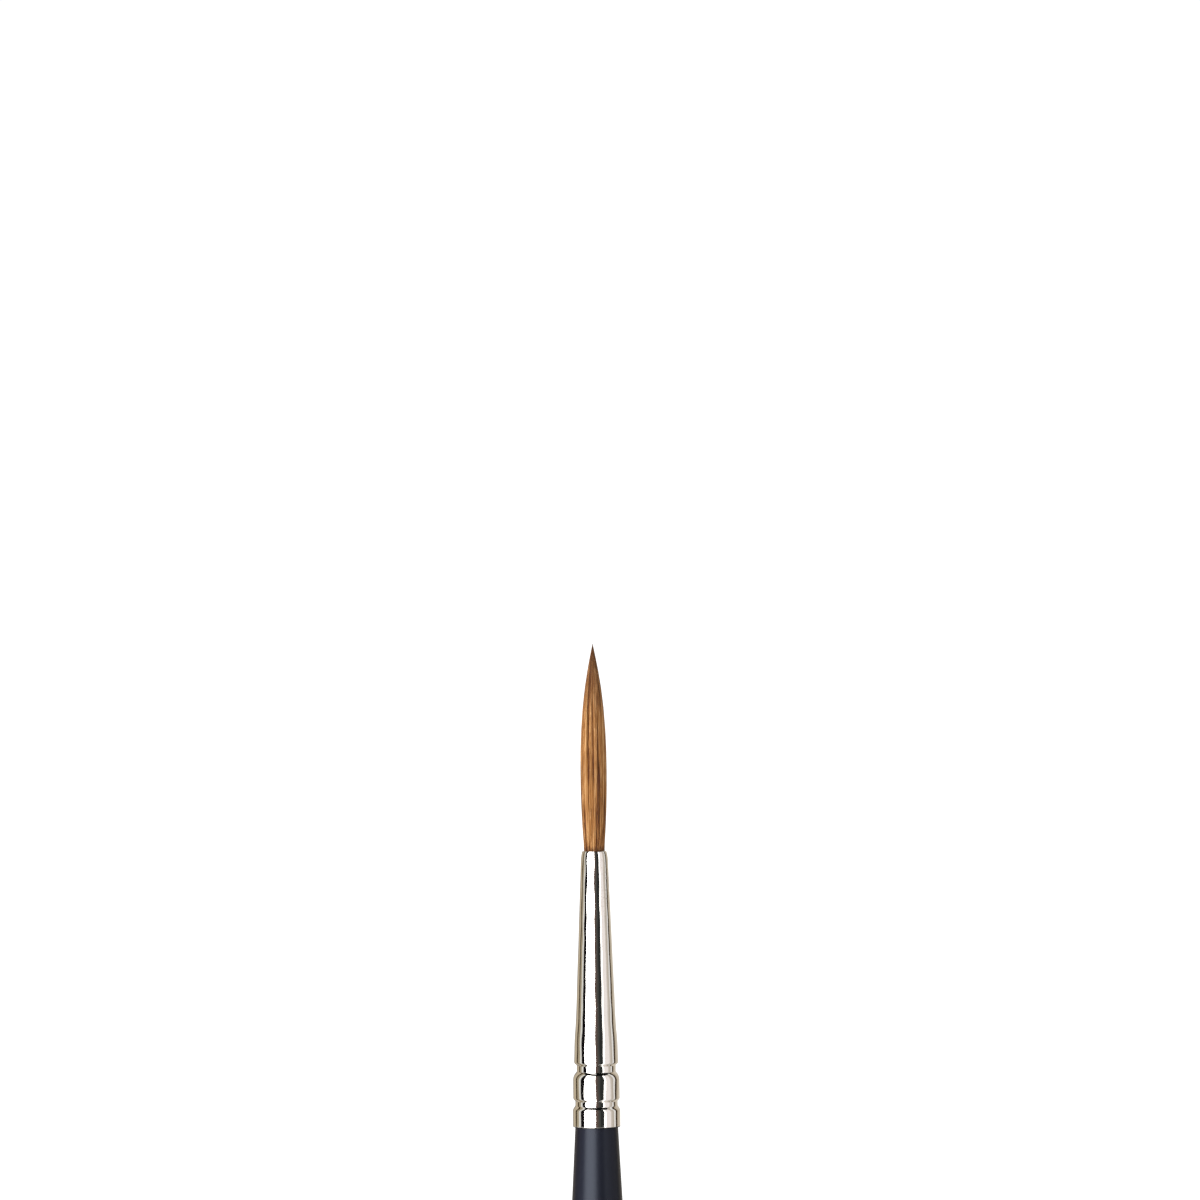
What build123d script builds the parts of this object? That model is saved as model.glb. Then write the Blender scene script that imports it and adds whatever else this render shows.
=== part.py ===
from build123d import *
import os

# A fine detail brush for painting models and miniatures, in millimetres. It stands upright:
# +Z runs along its axis from the butt of the handle to the tip of the hair, and the origin is
# the middle of the butt. Every piece is turned, drawn or bound round that axis.

# Handle: turned from dowel and dipped in lacquer. Radii are over the lacquer.
neck_z = 144.0
neck_radius = 2.27
neck_slope = 0.05
neck_run = 12.0
belly_top = 121.0
belly_length = 4.0
belly_radius = 3.3
belly_ease = 5.0
taper_ease = 10.0
tail_ease = 50.0
tail_top = 8.0
tail_radius = 1.6
lacquer_thickness = 0.18
lacquer_in_ferrule = 1.4

# Tenon: the bare wood inside the ferrule, a plain taper before the upper crimp bites into it.
tenon_length = 14.0
tenon_end_radius = 1.68

# Ferrule: heights are above its rear edge, and radii are outside ones.
ferrule_length = 29.2
wall = 0.23
collar_radius = 2.52
collar_top = 1.85
lower_crimp_radius = 2.25
lower_crimp_bottom = 2.25
lower_crimp_top = 2.72
barrel_radius = 2.465
barrel_bottom = 2.95
barrel_top = 5.4
upper_crimp_radius = 2.07
upper_crimp_bottom = 5.85
upper_crimp_top = 6.5
shoulder_radius = 2.35
shoulder_z = 6.75
flare_radius = 2.28
flare_z = 9.1
cone_radius = 2.12
cone_z = 11.0
lip_radius = 1.43
lip_z = 28.4
mouth_radius = 1.3

# Tuft: heights are above the ferrule's mouth, and the eases are how far along its outline
# each tangent reaches.
hair_length = 22.0
hair_mouth_radius = 1.05
hair_mouth_slope = 0.1
hair_mouth_ease = 1.6
hair_belly_z = 8.3
hair_belly_radius = 1.4
hair_belly_ease = 3.8
hair_shoulder_ease = 7.2
hair_point_slope = 0.21
hair_point_ease = 3.2

# Root of the tuft: heights are above the ferrule's rear edge.
root_z = 17.5
root_radius = 1.22
root_straight_top = 21.0
root_waist_ease = 3.0

# Thread wound round the root.
thread_diameter = 0.16
thread_pitch = 0.17
thread_turns = 9
thread_z = 18.3

# Cement round the root, and glue round the tenon: heights above the ferrule's rear edge.
resin_bottom = 16.7
resin_top = 24.0
glue_bottom = 7.6
glue_top = 14.5

# Clearance round the thread and under it.
slack = 0.01

lacquer_top = neck_z + lacquer_in_ferrule
mouth_z = neck_z + ferrule_length


def turned(outline):
    """The solid that a closed outline of (radius, height) points makes as it turns about Z."""
    return revolve(Plane.XZ * make_face(outline), Axis.Z)


def handle_side(inset):
    """The handle's side from the lacquer's top edge to the middle of the butt, moved in by inset."""
    top = neck_radius - neck_slope * lacquer_in_ferrule - inset
    belly = belly_radius - inset
    tail = tail_radius - inset
    belly_bottom = belly_top - belly_length
    swell = Bezier(
        (top, lacquer_top),
        (top + neck_slope * neck_run, lacquer_top - neck_run),
        (belly, belly_top + belly_ease),
        (belly, belly_top),
    )
    waist = Line((belly, belly_top), (belly, belly_bottom))
    taper = Bezier(
        (belly, belly_bottom),
        (belly, belly_bottom - taper_ease),
        (tail, tail_top + tail_ease),
        (tail, tail_top),
    )
    tail_side = Line((tail, tail_top), (tail, tail_radius))
    butt = CenterArc((0, tail_radius), tail, 0, -90)
    return swell + waist + taper + tail_side + butt


def make_handle(ferrule):
    """Bare wood: the turned shaft and its tenon, pressed in where the upper crimp bites."""
    shoulder = neck_radius - neck_slope * lacquer_in_ferrule - lacquer_thickness
    tenon_top = neck_z + tenon_length
    tenon = Polyline(
        (0, lacquer_thickness),
        (0, tenon_top),
        (tenon_end_radius, tenon_top),
        (shoulder, lacquer_top),
    )
    return turned(handle_side(lacquer_thickness) + tenon) - ferrule


def make_lacquer():
    """The coat on the handle, an even skin that runs a little way into the ferrule."""
    outside = handle_side(0)
    inside = handle_side(lacquer_thickness)
    top = neck_radius - neck_slope * lacquer_in_ferrule
    upper_edge = Line((top, lacquer_top), (top - lacquer_thickness, lacquer_top))
    butt_edge = Line((0, 0), (0, lacquer_thickness))
    return turned(outside + inside + upper_edge + butt_edge)


def ferrule_side(inset):
    """The ferrule's side from its rear edge to its mouth, moved in by inset."""
    corners_and_bends = [
        (collar_radius, collar_top, 0.6),
        (lower_crimp_radius, lower_crimp_bottom, 0.3),
        (lower_crimp_radius, lower_crimp_top, 0.08),
        (barrel_radius, barrel_bottom, 0.3),
        (barrel_radius, barrel_top, 1.2),
        (upper_crimp_radius, upper_crimp_bottom, 0.12),
        (upper_crimp_radius, upper_crimp_top, 0.08),
        (shoulder_radius, shoulder_z, 0.3),
        (flare_radius, flare_z, 20.0),
        (cone_radius, cone_z, 20.0),
        (lip_radius, lip_z, 3.0),
    ]
    corners = [(radius - inset, z + neck_z) for radius, z, bend in corners_and_bends]
    bends = [bend for radius, z, bend in corners_and_bends]
    rear = (collar_radius - inset, neck_z)
    mouth = (mouth_radius - inset, mouth_z)
    return FilletPolyline(rear, *corners, mouth, radius=bends)


def make_ferrule():
    """A drawn cone, flared at its rear, with a straight collar, two rolled crimps and a turned-in mouth."""
    rear_edge = Line((collar_radius - wall, neck_z), (collar_radius, neck_z))
    mouth_edge = Line((mouth_radius, mouth_z), (mouth_radius - wall, mouth_z))
    return turned(ferrule_side(0) + mouth_edge + ferrule_side(wall) + rear_edge)


def bore_fill(bottom, top):
    """What fills the ferrule's bore between two heights above its rear edge."""
    side = ferrule_side(wall)
    axis = Polyline(side @ 1, (0, mouth_z), (0, neck_z), side @ 0)
    middle = Location((0, 0, neck_z + (bottom + top) / 2))
    return turned(side + axis) & middle * Cylinder(collar_radius, top - bottom)


def make_tuft():
    """The whole bundle of hair: a straight root, a waist in the mouth, a belly and a point."""
    root_bottom = neck_z + root_z
    root_top = neck_z + root_straight_top
    belly_z = mouth_z + hair_belly_z
    tip_z = mouth_z + hair_length
    root = Polyline((0, tip_z), (0, root_bottom), (root_radius, root_bottom), (root_radius, root_top))
    waist = Bezier(
        (root_radius, root_top),
        (root_radius, root_top + root_waist_ease),
        (root_radius, mouth_z - root_waist_ease),
        (hair_mouth_radius, mouth_z),
    )
    swell = Bezier(
        (hair_mouth_radius, mouth_z),
        (hair_mouth_radius + hair_mouth_slope * hair_mouth_ease, mouth_z + hair_mouth_ease),
        (hair_belly_radius, belly_z - hair_belly_ease),
        (hair_belly_radius, belly_z),
    )
    point = Bezier(
        (hair_belly_radius, belly_z),
        (hair_belly_radius, belly_z + hair_shoulder_ease),
        (hair_point_slope * hair_point_ease, tip_z - hair_point_ease),
        (0, tip_z),
    )
    return turned(root + waist + swell + point)


def make_thread():
    """One length of thread wound round the root in a close helix."""
    coil_radius = root_radius + slack + thread_diameter / 2
    start = Location((0, 0, neck_z + thread_z))
    coil = start * Helix(thread_pitch, thread_pitch * thread_turns, coil_radius)
    section = Plane(coil @ 0, z_dir=coil % 0) * Circle(thread_diameter / 2)
    return sweep(section, coil, is_frenet=True)


def make_resin(tuft):
    """Cement cast round the root and the thread, and across the root's end."""
    thread_space = root_radius + thread_diameter + 2 * slack
    bottom = neck_z + thread_z - thread_pitch
    height = thread_pitch * (thread_turns + 2)
    middle = Location((0, 0, bottom + height / 2))
    space = middle * Cylinder(thread_space, height)
    return bore_fill(resin_bottom, resin_top) - tuft - space


ferrule = make_ferrule()
handle = make_handle(ferrule)
tuft = make_tuft()
pieces = {
    "handle": handle,
    "handle_lacquer": make_lacquer(),
    "ferrule": ferrule,
    "tenon_glue": bore_fill(glue_bottom, glue_top) - handle,
    "hair_tuft": tuft,
    "binding_thread": make_thread(),
    "root_resin": make_resin(tuft),
}

os.makedirs("parts", exist_ok=True)
for name, piece in pieces.items():
    export_step(piece, f"parts/{name}.step")
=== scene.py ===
import bpy
import numpy as np
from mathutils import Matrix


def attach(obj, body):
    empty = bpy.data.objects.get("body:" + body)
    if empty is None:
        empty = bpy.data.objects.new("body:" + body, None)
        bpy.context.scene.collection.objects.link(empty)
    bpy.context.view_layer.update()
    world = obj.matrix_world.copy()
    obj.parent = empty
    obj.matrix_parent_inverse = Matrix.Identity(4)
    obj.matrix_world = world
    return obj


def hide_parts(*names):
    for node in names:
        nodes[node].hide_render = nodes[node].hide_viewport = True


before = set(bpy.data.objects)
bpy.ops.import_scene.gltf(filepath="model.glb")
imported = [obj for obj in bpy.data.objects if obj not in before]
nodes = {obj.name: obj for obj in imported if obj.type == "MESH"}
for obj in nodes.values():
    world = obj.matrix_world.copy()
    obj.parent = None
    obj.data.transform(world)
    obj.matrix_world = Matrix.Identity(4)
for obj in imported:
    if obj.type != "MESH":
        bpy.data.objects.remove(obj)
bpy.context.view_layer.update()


# ---------------------------------------------------------------------------------------------
# Handle. The bare wood is turned birch, straight in the grain. Its tenon is pressed into the
# ferrule and the rest is under the lacquer, so the solid of the design is kept as it is.

MM = 0.001
dice = np.random.default_rng(7)


class Value:
    """One output of a finish's nodes. Sums on it add Math nodes, so a mask reads as a sum."""

    def __init__(self, finish, socket):
        self.finish = finish
        self.socket = socket

    def math(self, operation, *terms):
        """A Math node with the given operation on the given terms."""
        return self.finish.node("ShaderNodeMath", {"operation": operation}, dict(enumerate(terms)))

    def __add__(self, other):
        return self.math("ADD", self, other)

    def __sub__(self, other):
        return self.math("SUBTRACT", self, other)

    def __rsub__(self, other):
        return self.math("SUBTRACT", other, self)

    def __mul__(self, other):
        return self.math("MULTIPLY", self, other)

    __radd__ = __add__
    __rmul__ = __mul__

    def fade(self, start, end):
        """0 where the value is at start and 1 where it is at end, with a soft step between."""
        return self.finish.node(
            "ShaderNodeMapRange",
            {"interpolation_type": "SMOOTHSTEP"},
            {"Value": self, "From Min": start, "From Max": end},
        )


class Finish:
    """A material with one Principled shader, whose nodes are added by node() alone."""

    def __init__(self, name, constants):
        self.material = bpy.data.materials.new(name)
        self.material.use_nodes = True
        self.tree = self.material.node_tree
        self.shader = self.tree.nodes["Principled BSDF"]
        for socket, value in constants.items():
            self.shader.inputs[socket].default_value = value

    def put(self, value, socket):
        """Links a Value to a socket, or sets a plain number or colour on it."""
        if isinstance(value, Value):
            self.tree.links.new(value.socket, socket)
        else:
            socket.default_value = value

    def node(self, kind, settings=None, sockets=None, output=0):
        """Adds a node, sets its settings, fills its sockets and returns the output asked for."""
        made = self.tree.nodes.new(kind)
        for name, setting in (settings or {}).items():
            setattr(made, name, setting)
        for key, value in (sockets or {}).items():
            self.put(value, made.inputs[key])
        return Value(self, made.outputs[output])

    def place(self):
        """The point on the piece, in metres."""
        return self.node("ShaderNodeTexCoord", output="Object")

    def noise(self, stretch, detail=2.0, roughness=0.5):
        """Noise from 0 to 1 whose grain is 1 / stretch metres along X, Y and Z."""
        spot = self.node(
            "ShaderNodeVectorMath", {"operation": "MULTIPLY"}, {0: self.place(), 1: stretch}
        )
        sockets = {"Vector": spot, "Scale": 1.0, "Detail": detail, "Roughness": roughness}
        return self.node("ShaderNodeTexNoise", None, sockets)

    def attribute(self, name):
        """A number that the mesh carries at each corner."""
        return self.node("ShaderNodeAttribute", {"attribute_name": name}, output="Fac")

    def mix(self, mask, first, second):
        """The first colour where mask is 0 and the second where it is 1."""
        return self.node("ShaderNodeMix", {"data_type": "RGBA"}, {0: mask, 6: first, 7: second}, 2)

    def feed(self, **links):
        """Links values to the shader's own sockets, such as base_color=..., and bump to Normal."""
        for name, value in links.items():
            self.put(value, self.shader.inputs[name.replace("_", " ").title()])

    def bump(self, height, depth):
        """Raises the surface by depth metres where height is 1."""
        self.feed(normal=self.node("ShaderNodeBump", None, {"Height": height, "Distance": depth}))


def show(node_name, finish):
    """Gives a kept node of the design its finish."""
    slots = nodes[node_name].data.materials
    slots.clear()
    slots.append(finish.material)


birch = Finish("turned birch", {"Roughness": 0.62, "Specular IOR Level": 0.3})
grain = birch.noise((2600, 2600, 60), detail=4.0, roughness=0.6)
rings = birch.noise((420, 160, 9), detail=1.0)
pores = birch.noise((9000, 9000, 700), detail=0.0).fade(0.62, 0.72)
ring_lines = (rings * 40.0).math("SINE", rings * 40.0) * 0.5 + 0.5
wood_colour = birch.mix(grain, (0.62, 0.43, 0.25, 1), (0.78, 0.6, 0.38, 1))
wood_colour = birch.mix(ring_lines * 0.35, wood_colour, (0.5, 0.31, 0.16, 1))
wood_colour = birch.mix(pores * 0.5, wood_colour, (0.3, 0.17, 0.08, 1))
birch.feed(base_color=wood_colour, roughness=0.7 - grain * 0.15)
birch.bump(grain - pores, 0.03 * MM)
show("handle", birch)


# ---------------------------------------------------------------------------------------------
# Lacquer. The handle is dipped in several coats of dark navy lacquer, which flow out to a
# satin gloss and stop just inside the ferrule.

COAT = 0.18 * MM
NECK_Z = 144.0 * MM
COAT_TOP = NECK_Z + 1.4 * MM
COAT_TOP_RADIUS = 2.2 * MM
NECK_SLOPE = 0.05
NECK_RUN = 12 * MM
BELLY_TOP = 121 * MM
BELLY_BOTTOM = 117 * MM
BELLY_RADIUS = 3.3 * MM
BELLY_EASE = 5 * MM
TAPER_EASE = 10 * MM
TAIL_EASE = 50 * MM
TAIL_TOP = 8 * MM
TAIL_RADIUS = 1.6 * MM
BUTT_POINTS = 24
TAPER_POINTS = 130
SWELL_POINTS = 90


def bezier(points, count):
    """Points along a cubic curve: the four given points, weighted by the cubic's four terms."""
    t = np.linspace(0, 1, count)[:, None]
    a, b, c, d = np.array(points)
    return (1 - t) ** 3 * a + 3 * t * (1 - t) ** 2 * b + 3 * t * t * (1 - t) * c + t**3 * d


def handle_side(inset):
    """The side from the butt up to the top of the coat: a quarter circle, then two cubics."""
    turn = np.linspace(0, np.pi / 2, BUTT_POINTS)[:, None]
    tail = TAIL_RADIUS - inset
    belly = BELLY_RADIUS - inset
    top = COAT_TOP_RADIUS - inset
    butt = np.hstack([tail * np.sin(turn), TAIL_RADIUS - tail * np.cos(turn)])
    taper = [
        (tail, TAIL_TOP),
        (tail, TAIL_TOP + TAIL_EASE),
        (belly, BELLY_BOTTOM - TAPER_EASE),
        (belly, BELLY_BOTTOM),
    ]
    swell = [
        (belly, BELLY_TOP),
        (belly, BELLY_TOP + BELLY_EASE),
        (top + NECK_SLOPE * NECK_RUN, COAT_TOP - NECK_RUN),
        (top, COAT_TOP),
    ]
    return np.vstack([butt, bezier(taper, TAPER_POINTS), bezier(swell, SWELL_POINTS)])


def add_piece(name, points, faces, finish, smooth=True):
    """A mesh object at the origin from arrays of points and faces."""
    mesh = bpy.data.meshes.new(name)
    mesh.from_pydata(points, [], faces)
    mesh.polygons.foreach_set("use_smooth", np.full(len(mesh.polygons), smooth))
    mesh.materials.append(finish.material)
    mesh.update()
    piece = bpy.data.objects.new(name, mesh)
    bpy.context.scene.collection.objects.link(piece)
    return piece


def band_faces(rings, around, closed=False):
    """Quads between neighbouring rings of points, each ring joined to itself all round."""
    ring = np.arange(rings if closed else rings - 1)[:, None]
    step = np.arange(around)[None, :]
    above = (ring + 1) % rings
    beside = (step + 1) % around
    lower = [ring * around + step, ring * around + beside]
    upper = [above * around + beside, above * around + step]
    return np.stack(lower + upper, axis=-1).reshape(-1, 4)


def turned_points(outline, around):
    """Rings of points: each (radius, height) of the outline turned to every angle about Z."""
    angle = np.linspace(0, 2 * np.pi, around, endpoint=False)[None, :]
    radius, height = outline[:, :1], outline[:, 1:]
    rings = [radius * np.cos(angle), radius * np.sin(angle), height + 0 * angle]
    return np.stack(rings, axis=-1)


def closed_ends(points, faces, around):
    """Swaps the first and last rings, which lie on the axis, for one point and a fan of triangles."""
    rings, fans = points.reshape(-1, around, 3), faces.reshape(-1, around, 4)
    kept = rings[1:-1].reshape(-1, 3)
    first, last = len(kept), len(kept) + 1
    step = np.arange(around)
    beside = (step + 1) % around
    top = (len(rings) - 3) * around
    bottom_fan = np.stack([np.full(around, first), beside, step], axis=-1)
    top_fan = np.stack([top + step, top + beside, np.full(around, last)], axis=-1)
    quads = (fans[1:-1] - around).reshape(-1, 4)
    every_face = quads.tolist() + bottom_fan.tolist() + top_fan.tolist()
    return np.vstack([kept, rings[0, :1], rings[-1, :1]]), every_face


lacquer = Finish("navy handle lacquer", {
    "Specular IOR Level": 0.24,
    "Specular Tint": (0.8, 0.88, 1.0, 1),
})
flow = lacquer.noise((220, 220, 60), detail=2.0)
skin = lacquer.noise((1800, 1800, 900), detail=1.0)
dust = lacquer.noise((5200, 5200, 5200), detail=0.0).fade(0.76, 0.82)
navy = lacquer.mix(flow, (0.0028, 0.0031, 0.007, 1), (0.0044, 0.0048, 0.011, 1))
navy = lacquer.mix(dust * 0.12, navy, (0.03, 0.033, 0.045, 1))
lacquer.feed(base_color=navy, roughness=0.33 + flow * 0.06 + dust * 0.1)
lacquer.bump(flow * 0.7 + skin * 0.3, 0.008 * MM)

AROUND_HANDLE = 160
outside, inside = handle_side(0), handle_side(COAT)[::-1]
coat_outline = np.vstack([outside, inside])
coat_points = turned_points(coat_outline, AROUND_HANDLE)
coat_faces = band_faces(len(coat_outline), AROUND_HANDLE)
coat_points, coat_faces = closed_ends(coat_points, coat_faces, AROUND_HANDLE)
coat = add_piece("handle_coat", coat_points, coat_faces, lacquer)
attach(coat, "root")
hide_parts("handle_lacquer")


# ---------------------------------------------------------------------------------------------
# Ferrule. A seamless brass tube drawn to a cone and bright nickel plated. Two crimps are rolled
# into it to bite the tenon, and its mouth is turned in round the hair.

FERRULE_LENGTH = 29.2 * MM
WALL = 0.23 * MM
COLLAR_RADIUS = 2.52 * MM
MOUTH_RADIUS = 1.3 * MM
MOUTH_Z = NECK_Z + FERRULE_LENGTH
# Radius, height above the rear edge and bend radius of each corner, in millimetres.
CORNERS = np.array([
    (2.52, 1.85, 0.6),
    (2.25, 2.25, 0.3),
    (2.25, 2.72, 0.08),
    (2.465, 2.95, 0.3),
    (2.465, 5.4, 1.2),
    (2.07, 5.85, 0.12),
    (2.07, 6.5, 0.08),
    (2.35, 6.75, 0.3),
    (2.28, 9.1, 20.0),
    (2.12, 11.0, 20.0),
    (1.43, 28.4, 3.0),
]) * MM


def rounded(path, bends, steps=9):
    """The path with an arc at each inner corner: a rational quadratic whose middle point is the
    corner and whose middle weight is the cosine of half the turn, which is an exact arc."""
    corner = path[1:-1]
    back = path[:-2] - corner
    ahead = path[2:] - corner
    back = back / np.linalg.norm(back, axis=1, keepdims=True)
    ahead = ahead / np.linalg.norm(ahead, axis=1, keepdims=True)
    half_turn = (np.pi - np.arccos((back * ahead).sum(1))) / 2
    reach = (bends * np.tan(half_turn))[:, None]
    start = (corner + back * reach)[:, None]
    end = (corner + ahead * reach)[:, None]
    weight = np.cos(half_turn)[:, None, None]
    t = np.linspace(0, 1, steps)[None, :, None]
    arcs = (1 - t) ** 2 * start + 2 * weight * t * (1 - t) * corner[:, None] + t**2 * end
    arcs = arcs / ((1 - t) ** 2 + 2 * weight * t * (1 - t) + t**2)
    return np.vstack([path[:1], arcs.reshape(-1, 2), path[-1:]])


def divided(path, spacing):
    """The path with points added on its long runs, at most spacing apart."""
    along = np.concatenate([[0], np.cumsum(np.linalg.norm(np.diff(path, axis=0), axis=1))])
    even = np.arange(0, along[-1], spacing)
    every = np.unique(np.round(np.concatenate([along, even]), 8))
    return np.stack([np.interp(every, along, path[:, 0]), np.interp(every, along, path[:, 1])], axis=1)


def ferrule_side(inset):
    """The side from the rear edge to the mouth, moved in by inset."""
    inner = CORNERS[:, :2] + (-inset, NECK_Z)
    rear = (COLLAR_RADIUS - inset, NECK_Z)
    mouth = (MOUTH_RADIUS - inset, MOUTH_Z)
    return rounded(np.vstack([rear, inner, mouth]), CORNERS[:, 2])


def edge_round(centre, radius, start, end, steps=7):
    """A small arc that rounds over a cut edge of the tube, from one angle to another."""
    turn = np.radians(np.linspace(start, end, steps))[:, None]
    return np.array(centre) + radius * np.hstack([np.cos(turn), np.sin(turn)])


def ripple(points, waves, height, highest_lobe, longest, shortest):
    """Moves points out and in by a sum of waves, each with whole lobes round Z and its own
    length along Z, so the drawn metal is slightly uneven, as hand-fed tube is."""
    angle = np.arctan2(points[..., 1], points[..., 0])
    lobes = dice.integers(1, highest_lobe + 1, waves)
    turns = 2 * np.pi / dice.uniform(shortest, longest, waves)
    phase = dice.uniform(0, 2 * np.pi, waves)
    swing = np.cos(angle[..., None] * lobes + points[..., 2:] * turns + phase).sum(-1)
    shift = 1 + height * swing / waves**0.5 / np.hypot(points[..., 0], points[..., 1])
    return points * np.stack([shift, shift, np.ones_like(shift)], axis=-1)


AROUND_FERRULE = 224
EDGE = WALL / 2
BREAK = 0.08 * MM
OUTSIDE_SPACING = 0.22 * MM
INSIDE_SPACING = 0.6 * MM
# The mouth is rolled to a half round as wide as the wall, and the rear edge is only broken.
outside = divided(ferrule_side(0), OUTSIDE_SPACING)
inside = divided(ferrule_side(WALL), INSIDE_SPACING)[::-1]
rear_outside = edge_round((COLLAR_RADIUS - BREAK, NECK_Z + BREAK), BREAK, -90, 0)
rear_inside = edge_round((COLLAR_RADIUS - WALL + BREAK, NECK_Z + BREAK), BREAK, 180, 270)
mouth_edge = edge_round((MOUTH_RADIUS - EDGE, MOUTH_Z - EDGE), EDGE, 10, 170)
ferrule_outline = np.vstack([rear_outside, outside[1:-2], mouth_edge, inside[2:-1], rear_inside])
tube_points = turned_points(ferrule_outline, AROUND_FERRULE)
tube_points = ripple(
    tube_points, waves=18, height=0.0045 * MM, highest_lobe=9, longest=9 * MM, shortest=2.2 * MM
)
tube_faces = band_faces(len(ferrule_outline), AROUND_FERRULE, closed=True)

nickel = Finish("bright nickel plate", {"Specular IOR Level": 0.0})
cloud = nickel.noise((700, 700, 240), detail=2.0)
grit = nickel.noise((9000, 9000, 5000), detail=3.0, roughness=0.7)
draw_lines = nickel.noise((9000, 9000, 260), detail=2.0)
across = nickel.node("ShaderNodeSeparateXYZ", None, {"Vector": nickel.place()}, 0)
along = nickel.node("ShaderNodeSeparateXYZ", None, {"Vector": nickel.place()}, 2)
# The last stretch before the mouth is nicked on one side. The rear edge, where it meets the
# lacquer, is painted near black and not metal: painted shade for the shadow in the joint.
worn_side = along.fade(MOUTH_Z - 9 * MM, MOUTH_Z - 3 * MM) * across.fade(0.5 * MM, 0.9 * MM)
nicks = nickel.noise((5200, 5200, 3600), detail=2.0).fade(0.56, 0.66) * worn_side
rear_edge_shade = along.fade(NECK_Z + 0.12 * MM, NECK_Z + 0.07 * MM)
plate = nickel.mix(cloud, (0.87, 0.84, 0.79, 1), (0.82, 0.79, 0.73, 1))
plate = nickel.mix(grit.fade(0.5, 0.75) * 0.25, plate, (0.6, 0.55, 0.5, 1))
plate = nickel.mix(nicks * 0.45, plate, (0.35, 0.27, 0.22, 1))
# Painted shade: the rear edge is coloured near black where the joint with the lacquer lies in shadow.
plate = nickel.mix(rear_edge_shade, plate, (0.008, 0.006, 0.006, 1))
nicks_and_edge_shade = nicks * 0.2 + rear_edge_shade * 0.4
nickel.feed(base_color=plate, roughness=0.05 + cloud * 0.05 + nicks_and_edge_shade, metallic=1.0 - rear_edge_shade)
nickel.bump(draw_lines * 0.4 + grit * 0.3 - nicks, 0.0025 * MM)

tube = add_piece("ferrule_tube", tube_points.reshape(-1, 3), tube_faces, nickel)
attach(tube, "root")
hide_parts("ferrule")


# ---------------------------------------------------------------------------------------------
# Tenon glue. A thin film of wood glue between the tenon and the tube, squeezed up over the
# tenon's end. It is hidden, and the solid of the design is kept.

glue = Finish("set wood glue", {"Roughness": 0.45, "Coat Weight": 0.2})
smear = glue.noise((900, 900, 500), detail=3.0)
bubbles = glue.noise((5000, 5000, 5000), detail=0.0).fade(0.66, 0.74)
glue_colour = glue.mix(smear, (0.72, 0.55, 0.3, 1), (0.56, 0.38, 0.17, 1))
glue_colour = glue.mix(bubbles * 0.5, glue_colour, (0.85, 0.75, 0.55, 1))
glue.feed(base_color=glue_colour, roughness=0.4 + smear * 0.2)
glue.bump(smear - bubbles, 0.03 * MM)
show("tenon_glue", glue)


# ---------------------------------------------------------------------------------------------
# Hair tuft. One bundle of natural red-brown hair, cupped so that the hairs make a belly and a
# point. Each hair is a tapered strand with its root in the ferrule, over a heart painted dark as
# shade inside the bundle.

TIP_Z = MOUTH_Z + 22.0 * MM
ROOT_Z = NECK_Z + 17.5 * MM
ROOT_STRAIGHT_TOP = NECK_Z + 21.0 * MM
ROOT_RADIUS = 1.22 * MM
HAIR_MOUTH_RADIUS = 1.05 * MM
HAIR_BELLY_RADIUS = 1.4 * MM
HAIR_BELLY_Z = MOUTH_Z + 8.3 * MM
WAIST_EASE = 3 * MM
MOUTH_SWELL = 0.16 * MM
MOUTH_EASE = 1.6 * MM
HAIR_BELLY_EASE = 3.8 * MM
SHOULDER_EASE = 7.2 * MM
POINT_RADIUS = 0.67 * MM
POINT_EASE = 3.2 * MM

root_side = np.array([(ROOT_RADIUS, ROOT_Z), (ROOT_RADIUS, ROOT_STRAIGHT_TOP)])
waist_side = bezier(
    [
        (ROOT_RADIUS, ROOT_STRAIGHT_TOP),
        (ROOT_RADIUS, ROOT_STRAIGHT_TOP + WAIST_EASE),
        (ROOT_RADIUS, MOUTH_Z - WAIST_EASE),
        (HAIR_MOUTH_RADIUS, MOUTH_Z),
    ],
    40,
)
swell_side = bezier(
    [
        (HAIR_MOUTH_RADIUS, MOUTH_Z),
        (HAIR_MOUTH_RADIUS + MOUTH_SWELL, MOUTH_Z + MOUTH_EASE),
        (HAIR_BELLY_RADIUS, HAIR_BELLY_Z - HAIR_BELLY_EASE),
        (HAIR_BELLY_RADIUS, HAIR_BELLY_Z),
    ],
    60,
)
point_side = bezier(
    [
        (HAIR_BELLY_RADIUS, HAIR_BELLY_Z),
        (HAIR_BELLY_RADIUS, HAIR_BELLY_Z + SHOULDER_EASE),
        (POINT_RADIUS, TIP_Z - POINT_EASE),
        (0, TIP_Z),
    ],
    120,
)
tuft_side = np.vstack([root_side, waist_side[1:], swell_side[1:], point_side[1:]])


def tuft_radius(height):
    """The bundle's radius at a height."""
    return np.interp(height, tuft_side[:, 1], tuft_side[:, 0])


HAIRS = 1350
SIDES = 4
THICKEST = 0.05 * MM
DEPTH_SPREAD = 0.36
LENGTH_SPREAD = 0.2
# Slant and drift are in radians per metre of height, and bend is in radians.
SLANT_SPREAD = 9.0
BEND_SPREAD = 0.05
MOST_DRIFT = 230
LOCK_RELIEF = 0.03 * MM
LOCK_PULL = 1.5
# Heights above the mouth, in millimetres, of the rings of each strand that can be seen.
SEEN_LEVELS = np.array([0.3, 2.0, 4.0, 6.2, 8.5, 10.8, 13.0, 15.2, 17.2, 19.0, 20.5, 21.5, 21.97])
inside_levels = np.linspace(ROOT_Z + 0.1 * MM, MOUTH_Z - 0.5 * MM, 3)
levels = np.concatenate([inside_levels, MOUTH_Z + SEEN_LEVELS * MM])
span = (levels - ROOT_Z) / (TIP_Z - ROOT_Z)

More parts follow.
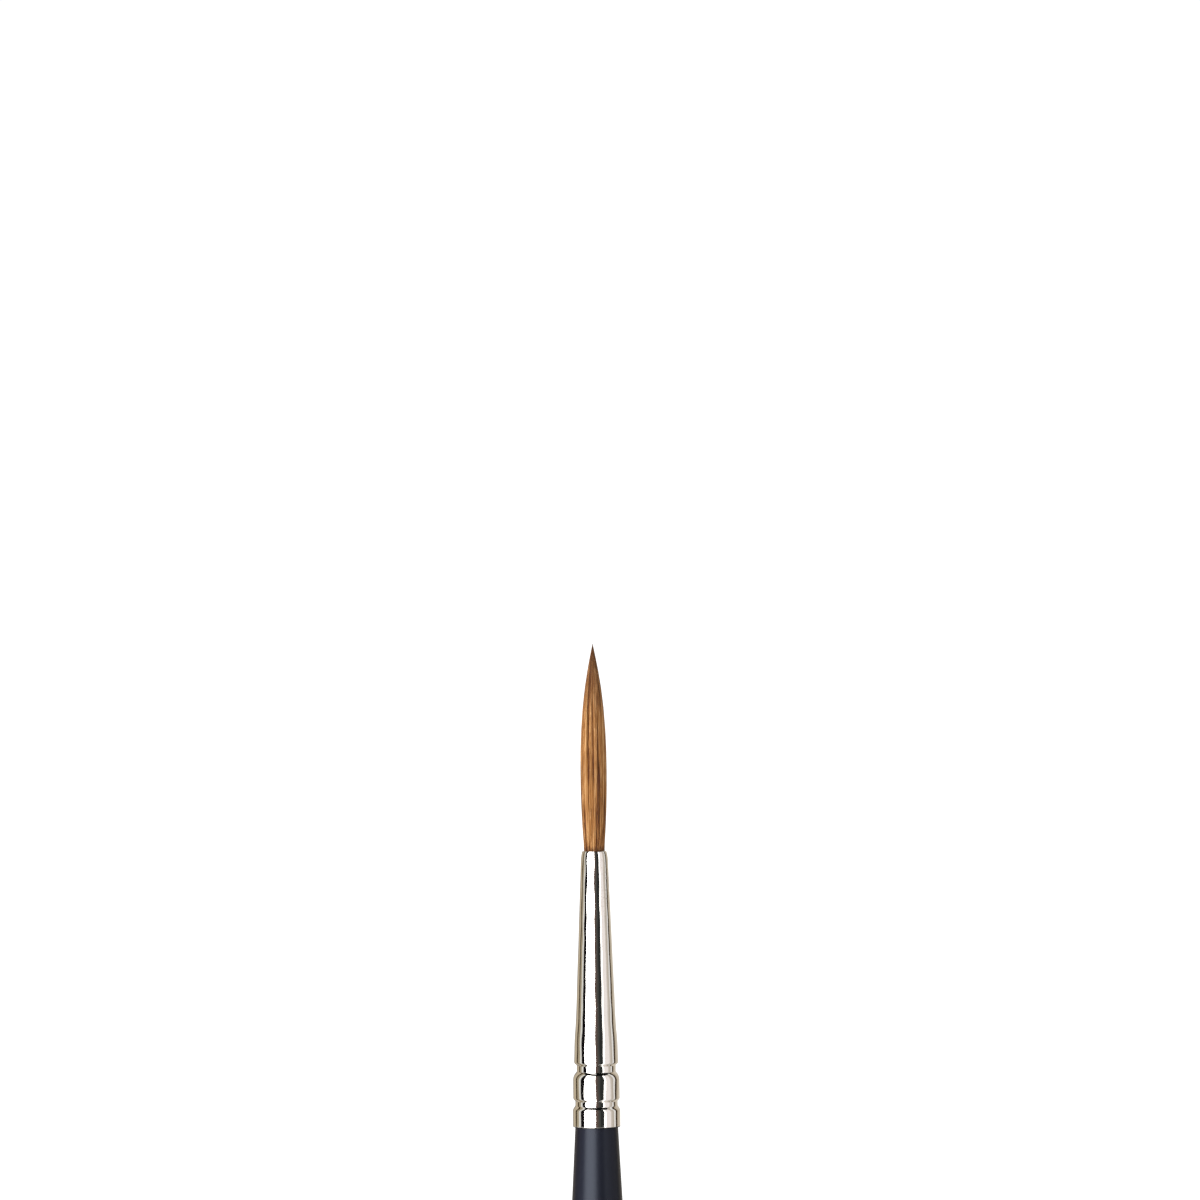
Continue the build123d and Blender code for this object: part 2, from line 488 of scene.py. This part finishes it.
# Where each hair sits: its angle round the bundle, how deep it lies as a share of the bundle's
# radius from its axis, and where it ends as a share of the bundle's length.
home_angle = dice.uniform(0, 2 * np.pi, HAIRS)
depth = 1 - DEPTH_SPREAD * dice.uniform(0, 1, HAIRS) ** 1.8
length = 1 - LENGTH_SPREAD * dice.uniform(0, 1, HAIRS) ** 3
reached = ROOT_Z + (levels[None, :] - ROOT_Z) * length[:, None]

# The hairs cling together in locks: waves of angle that drift along the bundle pull them into
# groups, and the hairs between two groups lie deeper. Each hair also slants a little of itself.
lobes = np.array([7, 11, 16, 21, 29])
pull = np.array([0.03, 0.024, 0.018, 0.013, 0.009])
drift = dice.uniform(-MOST_DRIFT, MOST_DRIFT, len(lobes))
phase = dice.uniform(0, 2 * np.pi, len(lobes))
slant = dice.normal(0, SLANT_SPREAD, (HAIRS, 1)) * (reached - MOUTH_Z)
bend = dice.normal(0, BEND_SPREAD, (HAIRS, 1))
bend = bend * np.sin(span * dice.uniform(5, 14, (HAIRS, 1)))
loose_angle = home_angle[:, None] + slant + bend
wave = loose_angle[:, :, None] * lobes + (reached - MOUTH_Z)[:, :, None] * drift + phase
angle = loose_angle - (pull * LOCK_PULL * np.sin(wave)).sum(-1)
crest = (pull * lobes * np.cos(wave)).sum(-1)

# The strands thin with the bundle and again at their tips, and none stands out of the bundle.
bundle = tuft_radius(reached)
share = bundle / HAIR_BELLY_RADIUS
tip_taper = np.clip((1 - span)[None, :] * 12, 0.4, 1)
girth = THICKEST * dice.uniform(0.7, 1.2, (HAIRS, 1)) * np.clip(share, 0.1, 1) * tip_taper
lift = LOCK_RELIEF * np.clip(crest, -1.6, 0.8) * share
reach = bundle * depth[:, None] - girth * 0.7 + lift
reach = np.clip(reach, 0, bundle - girth * 0.72)
middles = np.stack([reach * np.cos(angle), reach * np.sin(angle), reached], axis=-1)


def strands(middles, girth, sides):
    """Tubes round lines of points: each point's ring is girth wide, across its line's direction,
    and a cap closes each end."""
    count, rows = girth.shape
    along = np.gradient(middles, axis=1)
    along = along / np.linalg.norm(along, axis=-1, keepdims=True)
    outward = middles * (1, 1, 0)
    outward = outward / np.maximum(np.linalg.norm(outward, axis=-1, keepdims=True), 1e-9)
    across = np.cross(along, outward)
    across = across / np.linalg.norm(across, axis=-1, keepdims=True)
    outward = np.cross(across, along)
    turn = (np.arange(sides) + 0.5)[None, None, :, None] * 2 * np.pi / sides
    ring = np.cos(turn) * outward[:, :, None] + np.sin(turn) * across[:, :, None]
    points = middles[:, :, None] + ring * girth[:, :, None, None]
    first = (np.arange(count) * rows * sides)[:, None, None]
    quads = (band_faces(rows, sides)[None] + first).reshape(-1, 4)
    corner = np.arange(sides)[None]
    root_caps = first[:, 0] + corner[:, ::-1]
    tip_caps = first[:, 0] + (rows - 1) * sides + corner
    return points.reshape(-1, 3), np.vstack([quads, root_caps, tip_caps])


hair_points, hair_faces = strands(middles, girth, SIDES)

hair = Finish("red-brown natural hair", {
    "Roughness": 0.42,
    "Specular IOR Level": 0.16,
    "Specular Tint": (1.0, 0.85, 0.68, 1),
})
height_share = hair.attribute("along")
lock_streak = hair.noise((1500, 1500, 130), detail=1.0)
fine_streak = hair.noise((4600, 4600, 330), detail=2.0)
# The lock value is painted shade: hairs in the gaps between locks, which lie deeper, are made darker,
# and hairs bunched in a lock paler.
tone = hair.attribute("tone") * 0.42 + hair.attribute("lock_gap_shade") * 0.34
tone = tone + (lock_streak - 0.5) * 0.6 + (fine_streak - 0.5) * 0.9 + 0.16
dark_hair = (0.057, 0.0135, 0.0025, 1)
mid_hair = (0.2, 0.08, 0.0185, 1)
pale_hair = (0.375, 0.205, 0.083, 1)
hair_colour = hair.mix(tone.fade(0.18, 0.5), dark_hair, mid_hair)
hair_colour = hair.mix(tone.fade(0.5, 0.92), hair_colour, pale_hair)
hair_colour = hair.mix(height_share.fade(0.55, 0.95) * 0.7, hair_colour, (0.085, 0.032, 0.013, 1))
hair_colour = hair.mix(height_share.fade(0.955, 1.0) * 0.75, hair_colour, (0.075, 0.045, 0.034, 1))
# Painted shade: the hairs are darkened just above the mouth, where they go into the ferrule.
hair_colour = hair.mix(height_share.fade(0.035, 0.008) * 0.8, hair_colour, (0.06, 0.018, 0.006, 1))
hair.feed(base_color=hair_colour)

hairs = add_piece("tuft_hairs", hair_points, hair_faces.tolist(), hair)


def carry(piece, name, values):
    """Writes one number for each point of a piece."""
    attribute = piece.data.attributes.new(name, "FLOAT", "POINT")
    attribute.data.foreach_set("value", np.asarray(values, np.float32).ravel())


rows = len(levels)
carry(hairs, "tone", np.repeat(dice.uniform(0, 1, HAIRS), rows * SIDES))
# Painted shade: hairs that lie deeper in the gaps between locks get a low value and are coloured
# darker.
carry(hairs, "lock_gap_shade", np.repeat(np.clip(0.5 + 0.55 * crest, 0, 1), SIDES))
carry(hairs, "along", np.repeat(np.clip((reached - MOUTH_Z) / (TIP_Z - MOUTH_Z), 0, 1), SIDES))
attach(hairs, "root")
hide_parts("hair_tuft")

# The heart is painted dark: painted shade for the deep hairs inside the bundle, between and behind the
# strands.
heart_finish = Finish("shaded heart of the bundle", {"Roughness": 0.7, "Specular IOR Level": 0.2})
heart_streak = heart_finish.noise((3000, 3000, 110), detail=2.0)
heart_shade_colour = heart_finish.mix(heart_streak, (0.03, 0.008, 0.003, 1), (0.1, 0.032, 0.01, 1))
heart_finish.feed(base_color=heart_shade_colour)
AROUND_HEART = 64
HEART_SHARE = 0.82
heart_heights = np.linspace(ROOT_Z + 0.2 * MM, TIP_Z - 0.3 * MM, 90)
heart_side = np.stack([tuft_radius(heart_heights) * HEART_SHARE, heart_heights], axis=1)
heart_side = np.vstack([(0, ROOT_Z + 0.1 * MM), heart_side, (0, TIP_Z - 0.25 * MM)])
heart_points = turned_points(heart_side, AROUND_HEART)
heart_faces = band_faces(len(heart_side), AROUND_HEART)
heart_points, heart_faces = closed_ends(heart_points, heart_faces, AROUND_HEART)
heart = add_piece("tuft_heart", heart_points, heart_faces, heart_finish)
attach(heart, "root")
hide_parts("hair_tuft")


# ---------------------------------------------------------------------------------------------
# Binding thread. Fine waxed linen, wound tightly round the root of the bundle before it goes
# into the ferrule.

thread = Finish("waxed linen thread", {"Roughness": 0.75, "Sheen Weight": 0.3})
strand_twist = thread.noise((3000, 3000, 14000), detail=1.0)
fuzz = thread.noise((14000, 14000, 14000), detail=1.0)
thread.feed(base_color=thread.mix(strand_twist, (0.74, 0.68, 0.55, 1), (0.55, 0.47, 0.33, 1)))
thread.bump(strand_twist * 0.7 + fuzz * 0.3, 0.02 * MM)
show("binding_thread", thread)


# ---------------------------------------------------------------------------------------------
# Root resin. Cement poured round the bound root, which sets hard and holds the tuft.

cement = Finish("amber hair cement", {"Roughness": 0.25, "Coat Weight": 0.3})
haze = cement.noise((700, 700, 700), detail=2.0)
trapped_air = cement.noise((4500, 4500, 4500), detail=0.0).fade(0.68, 0.74)
cement_colour = cement.mix(haze, (0.45, 0.24, 0.08, 1), (0.3, 0.14, 0.04, 1))
cement_colour = cement.mix(trapped_air * 0.6, cement_colour, (0.7, 0.55, 0.35, 1))
cement.feed(base_color=cement_colour, roughness=0.2 + haze * 0.15)
cement.bump(haze - trapped_air, 0.02 * MM)
show("root_resin", cement)


# ---------------------------------------------------------------------------------------------
# Studio. A sheet of white acrylic lit from below is the floor, and a white room lights the
# brush. Bright panels and dark cards round it give the metal and the lacquer their reflections.


def glowing(name, colour, glow, reflects=0.0):
    """A stage finish: it gives light of its own colour and reflects a share of what falls on it."""
    made = Finish(name, {"Roughness": 1.0, "Specular IOR Level": 0.0, "Emission Strength": glow})
    made.shader.inputs["Base Color"].default_value = (reflects, reflects, reflects, 1)
    made.shader.inputs["Emission Color"].default_value = (*colour, 1)
    return made


FLOOR_HALF = 30.0
floor_corners = np.array([(-1, -1, 0), (1, -1, 0), (1, 1, 0), (-1, 1, 0)]) * FLOOR_HALF
acrylic = glowing("lit white acrylic", (1.0, 1.0, 1.0), 0.35, reflects=0.9)
floor = add_piece("studio_floor", floor_corners, [(0, 1, 2, 3)], acrylic, False)

CARD_RADIUS = 0.3
CARD_TOP = 0.5
CARD_BOTTOM = 0.001
CARD_INNER_RADIUS = 0.01
CARD_STEPS = 12
# Each card's right edge in degrees, seen from the brush, then its colour and how brightly it
# glows. 0 is towards the viewer and positive is to the right. The first card starts at -180,
# and each other one starts where the one before it ends.
CARDS = [
    ("back_strip_left", -171, (1.0, 1.0, 1.0), 1.2),
    ("back_left_screen", -150, (0.34, 0.3, 0.26), 1.0),
    ("left_wall", -122, (0.56, 0.48, 0.36), 1.0),
    ("left_stand", -111, (0.045, 0.027, 0.011), 1.0),
    ("left_screen", -96, (0.42, 0.36, 0.257), 1.0),
    ("left_reflector", -83, (0.8, 0.8, 0.78), 1.0),
    ("left_flag", -61, (0.003, 0.002, 0.003), 1.0),
    ("left_softbox", -5, (1.0, 1.0, 1.0), 7.0),
    ("lens_edge", 5, (0.13, 0.084, 0.073), 1.0),
    ("lens_gap_left", 12, (0.09, 0.074, 0.065), 1.0),
    ("lens_gap", 20, (0.062, 0.065, 0.062), 1.0),
    ("lens_flag", 38, (0.026, 0.028, 0.028), 1.0),
    ("right_strip", 47, (1.0, 1.0, 1.0), 2.4),
    ("right_softbox", 74, (0.97, 0.92, 0.93), 1.0),
    ("right_screen", 83, (0.68, 0.63, 0.585), 1.0),
    ("right_edge", 94, (0.54, 0.49, 0.44), 1.0),
    ("right_reflector", 106, (0.86, 0.86, 0.87), 1.0),
    ("right_stand", 120, (0.045, 0.027, 0.012), 1.0),
    ("right_wall", 135, (0.52, 0.45, 0.355), 1.0),
    ("back_right_screen", 171, (0.66, 0.6, 0.52), 1.0),
    ("back_strip_right", 180, (1.0, 1.0, 1.0), 1.2),
]


def card(left, right):
    """A strip of an upright cylinder about the brush, whose foot runs in along the floor."""
    turn = np.radians(np.linspace(left, right, CARD_STEPS))[:, None]
    radius = np.array([[CARD_INNER_RADIUS, CARD_RADIUS, CARD_RADIUS]])
    height = np.array([[CARD_BOTTOM, CARD_BOTTOM, CARD_TOP]])
    grid = np.stack([radius * np.sin(turn), -radius * np.cos(turn), height + 0 * turn], axis=-1)
    corner = np.arange(CARD_STEPS - 1)[:, None, None] * 3 + np.arange(2)[None, :, None]
    return grid.reshape(-1, 3), (corner + np.array([0, 1, 4, 3])).reshape(-1, 4)


def hide_from_all_but_gloss(panel):
    """Leaves a panel to be seen in reflections alone."""
    panel.visible_camera = False
    panel.visible_diffuse = False
    panel.visible_shadow = False


card_left = -180
for name, card_right, colour, glow in CARDS:
    card_points, card_faces = card(card_left, card_right)
    lit = glowing(name.replace("_", " "), colour, glow)
    hide_from_all_but_gloss(add_piece(name, card_points, card_faces.tolist(), lit, False))
    card_left = card_right

scene = bpy.context.scene
room = bpy.data.worlds.new("white room")
scene.world = room
room.use_nodes = True
background = room.node_tree.nodes["Background"]
background.inputs["Color"].default_value = (1, 1, 1, 1)
background.inputs["Strength"].default_value = 1.05

# Overhead: a dark roof, and a curved strip lamp just under it on the left.
ROOF_RADII = (0.6, 0.001)
AROUND_ROOF = 48
roof_outline = np.array([(radius, CARD_TOP) for radius in ROOF_RADII])
roof_points = turned_points(roof_outline, AROUND_ROOF).reshape(-1, 3)
roof_faces = band_faces(2, AROUND_ROOF)[:, ::-1].tolist()
roof_finish = glowing("dark roof", (0.004, 0.004, 0.004), 1.0)
hide_from_all_but_gloss(add_piece("dark_roof", roof_points, roof_faces, roof_finish, False))

STRIP_STEPS = 24
STRIP_ANGLES = (-110, 0)
STRIP_RADII = np.array([[0.104, 0.138]])
STRIP_Z = CARD_TOP - 0.001
strip_turn = np.radians(np.linspace(*STRIP_ANGLES, STRIP_STEPS))[:, None]
strip_x, strip_y = STRIP_RADII * np.sin(strip_turn), -STRIP_RADII * np.cos(strip_turn)
strip_grid = np.stack([strip_x, strip_y, np.full_like(strip_x, STRIP_Z)], axis=-1)
strip_faces = (np.arange(STRIP_STEPS - 1)[:, None] * 2 + np.array([[0, 2, 3, 1]])).tolist()
strip_finish = glowing("roof strip lamp", (1.0, 1.0, 1.0), 1.3)
strip = add_piece("roof_strip_lamp", strip_grid.reshape(-1, 3), strip_faces, strip_finish, False)
hide_from_all_but_gloss(strip)

# A large soft lamp on the left, which gives the hair and the handle their light and dark sides.
LAMP_AT = (-0.4, -0.26, 0.3)
LAMP_TILT = 75
LAMP_TURN = -57
lamp = bpy.data.lights.new("soft_lamp", "AREA")
lamp.shape = "SQUARE"
lamp.size = 0.35
lamp.energy = 4.0
lamp_place = bpy.data.objects.new("soft_lamp", lamp)
lamp_place.location = LAMP_AT
lamp_place.rotation_euler = (np.radians(LAMP_TILT), 0, np.radians(LAMP_TURN))
lamp_place.visible_camera = False
lamp_place.visible_glossy = False
scene.collection.objects.link(lamp_place)

# The camera is level, in front of the brush, and leans by half a degree.
VIEW_DISTANCE = 0.6
VIEW_X = 0.83 * MM
VIEW_Z = TIP_Z + 4.55 * MM
LENS = 170.0
LEAN = 0.497
view = bpy.data.cameras.new("view")
view.lens = LENS
view.sensor_width = 36.0
viewer = bpy.data.objects.new("view", view)
viewer.location = (VIEW_X, -VIEW_DISTANCE, VIEW_Z)
viewer.rotation_euler = (np.pi / 2, np.radians(LEAN), 0)
scene.collection.objects.link(viewer)
scene.camera = viewer
scene.view_settings.view_transform = "Standard"
